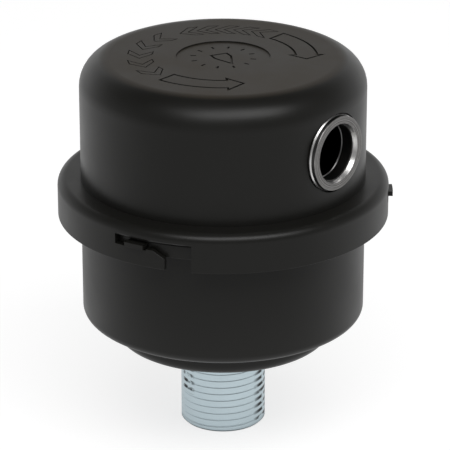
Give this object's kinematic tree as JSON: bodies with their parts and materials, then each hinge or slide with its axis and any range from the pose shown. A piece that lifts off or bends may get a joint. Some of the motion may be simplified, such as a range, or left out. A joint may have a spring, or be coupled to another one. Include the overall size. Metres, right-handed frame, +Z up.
{
  "type": "intake filter",
  "caption": "Round air intake filter: a bayonet cap with a side inlet eyelet over a base that holds a pleated element and a threaded outlet nipple.",
  "frame": {"origin": "centre of the nipple's lower end, on the axis of the housing", "axes": "+Z up along the housing's axis, from the nipple to the cap's top; +X out of the side inlet"},
  "size_m": [0.0822, 0.083, 0.097],
  "materials": {
    "cap_plastic": "satin moulded black",
    "base_plastic": "satin moulded black",
    "bright_plate": "bright nickel plate",
    "zinc_plate": "zinc plate, slightly blue",
    "washer_steel": "zinc plate",
    "nut_steel": "zinc plate",
    "gasket_rubber": "matt black rubber",
    "seal_rubber": "matt black rubber",
    "urethane": "soft moulded urethane, dark red",
    "filter_paper": "pleated filter paper, dark brown from its cured resin",
    "core_plastic": "moulded black",
    "screen_steel": "expanded steel, coated black"
  },
  "bodies": {
    "base": {"base_shell": "base_plastic", "outlet_nipple": "zinc_plate", "nipple_seal": "seal_rubber", "nipple_washer": "washer_steel", "lock_nut": "nut_steel", "cap_gasket": "gasket_rubber", "element_lower_cap": "urethane"},
    "element": {"element_upper_cap": "urethane", "pleated_media": "filter_paper", "element_core": "core_plastic", "element_screen": "screen_steel"},
    "cap": {"cap_shell": "cap_plastic", "inlet_eyelet": "bright_plate"}
  },
  "joints": [
    {"name": "cap_press", "type": "slide", "parent": "base", "child": "element", "axis": [0, 0, 1], "range_m": [-0.0005, 0], "stiffness_N_per_m": 6000, "springref_m": 0.002, "deforming": ["element_lower_cap", "cap_gasket"]},
    {"name": "cap_turn", "type": "hinge", "parent": "element", "child": "cap", "pos_m": [0, 0, 0.0629], "axis": [0, 0, 1], "range_deg": [-15.3, 4.45]}
  ]
}
